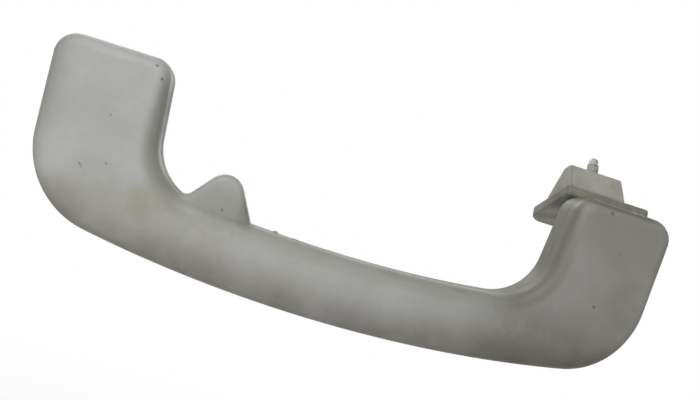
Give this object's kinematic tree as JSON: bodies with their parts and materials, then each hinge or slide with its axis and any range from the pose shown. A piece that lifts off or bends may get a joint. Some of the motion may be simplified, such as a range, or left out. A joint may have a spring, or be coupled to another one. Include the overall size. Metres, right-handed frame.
{
  "type": "roof grab handle",
  "caption": "Folding roof grab handle with an arched bar, a coat hook and hinged screw brackets in hollow ends.",
  "frame": {"origin": "the middle of the line that both hinges turn about, half way between the two ends", "axes": "+X along the handle towards the bare right bracket, +Z from the bar up to the roof, -Y to the cabin"},
  "size_m": [0.2493, 0.0621, 0.0967],
  "materials": {
    "grip": "worn, finely grained light grey",
    "bracket": "aged, slightly brownish grey",
    "pin": "plain",
    "spring": "oiled spring wire",
    "damper": "plain black",
    "rotor": "plain",
    "screw": "dull zinc",
    "washer": "dull zinc",
    "cover": "plain"
  },
  "bodies": {
    "right_mount": {"right_bracket": "bracket", "right_hinge_pin": "pin", "damper_rotor": "rotor", "right_screw": "screw", "right_washer": "washer", "right_screw_cover": "cover"},
    "handle": {"grip": "grip", "damper_housing": "damper", "return_spring": "spring"},
    "left_mount": {"left_bracket": "bracket", "left_hinge_pin": "pin", "left_screw": "screw", "left_washer": "washer", "left_screw_cover": "cover"}
  },
  "joints": [
    {"name": "right_hinge", "type": "hinge", "parent": "right_mount", "child": "handle", "pos_m": [0, 0, 0], "axis": [1, 0, 0], "range_deg": [0, 69.7]},
    {"name": "left_hinge", "type": "hinge", "parent": "handle", "child": "left_mount", "pos_m": [-0.1023, 0, 0], "axis": [1, 0, 0], "range_deg": [0, 69.7], "stiffness_Nm_per_rad": 0.06, "springref_deg": -45.84}
  ]
}
